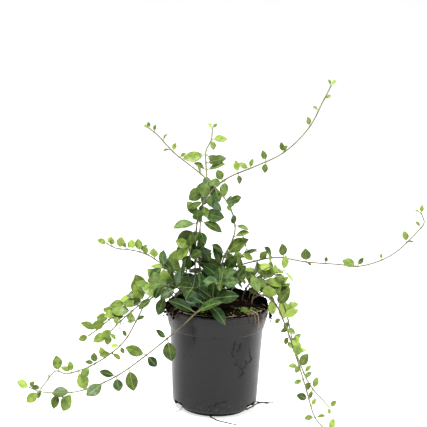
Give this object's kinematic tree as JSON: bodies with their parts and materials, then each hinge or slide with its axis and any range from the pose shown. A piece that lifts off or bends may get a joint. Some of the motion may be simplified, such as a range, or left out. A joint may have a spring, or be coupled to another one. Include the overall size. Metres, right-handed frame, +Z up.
{
  "type": "potted periwinkle plant",
  "caption": "Round nursery pot full of soil with a bushy periwinkle plant: long thin leafy stems that climb, arch and trail over the rim down to the surface.",
  "frame": {"origin": "centre of the pot's flat base, on the surface that the pot stands on", "axes": "+Z up along the pot's axis; -Y towards the picture's camera; +X to the right in the picture, along the longest spread of the stems"},
  "size_m": [0.4601, 0.2637, 0.3904],
  "materials": {
    "pot": "satin dark grey moulded plastic",
    "soil": "matte damp potting soil; the density of loose soil stands as wood",
    "foliage": "waxy green leaves and thin green stems"
  },
  "bodies": {
    "root": {"pot": "pot", "soil": "soil", "sprig_01": "foliage", "sprig_02": "foliage", "sprig_03": "foliage", "sprig_04": "foliage", "sprig_05": "foliage", "sprig_06": "foliage", "sprig_07": "foliage", "sprig_08": "foliage", "sprig_09": "foliage", "sprig_10": "foliage", "sprig_11": "foliage", "sprig_12": "foliage", "sprig_13": "foliage", "sprig_14": "foliage", "stem_back": "foliage", "stem_front": "foliage", "stem_left": "foliage", "stem_left_lower": "foliage", "stem_left_trailing": "foliage", "stem_left_upper": "foliage", "stem_middle": "foliage", "stem_right": "foliage", "stem_right_trailing": "foliage", "stem_right_twin": "foliage", "stem_top": "foliage", "stem_upper_left": "foliage", "stem_upper_right": "foliage"}
  },
  "joints": []
}
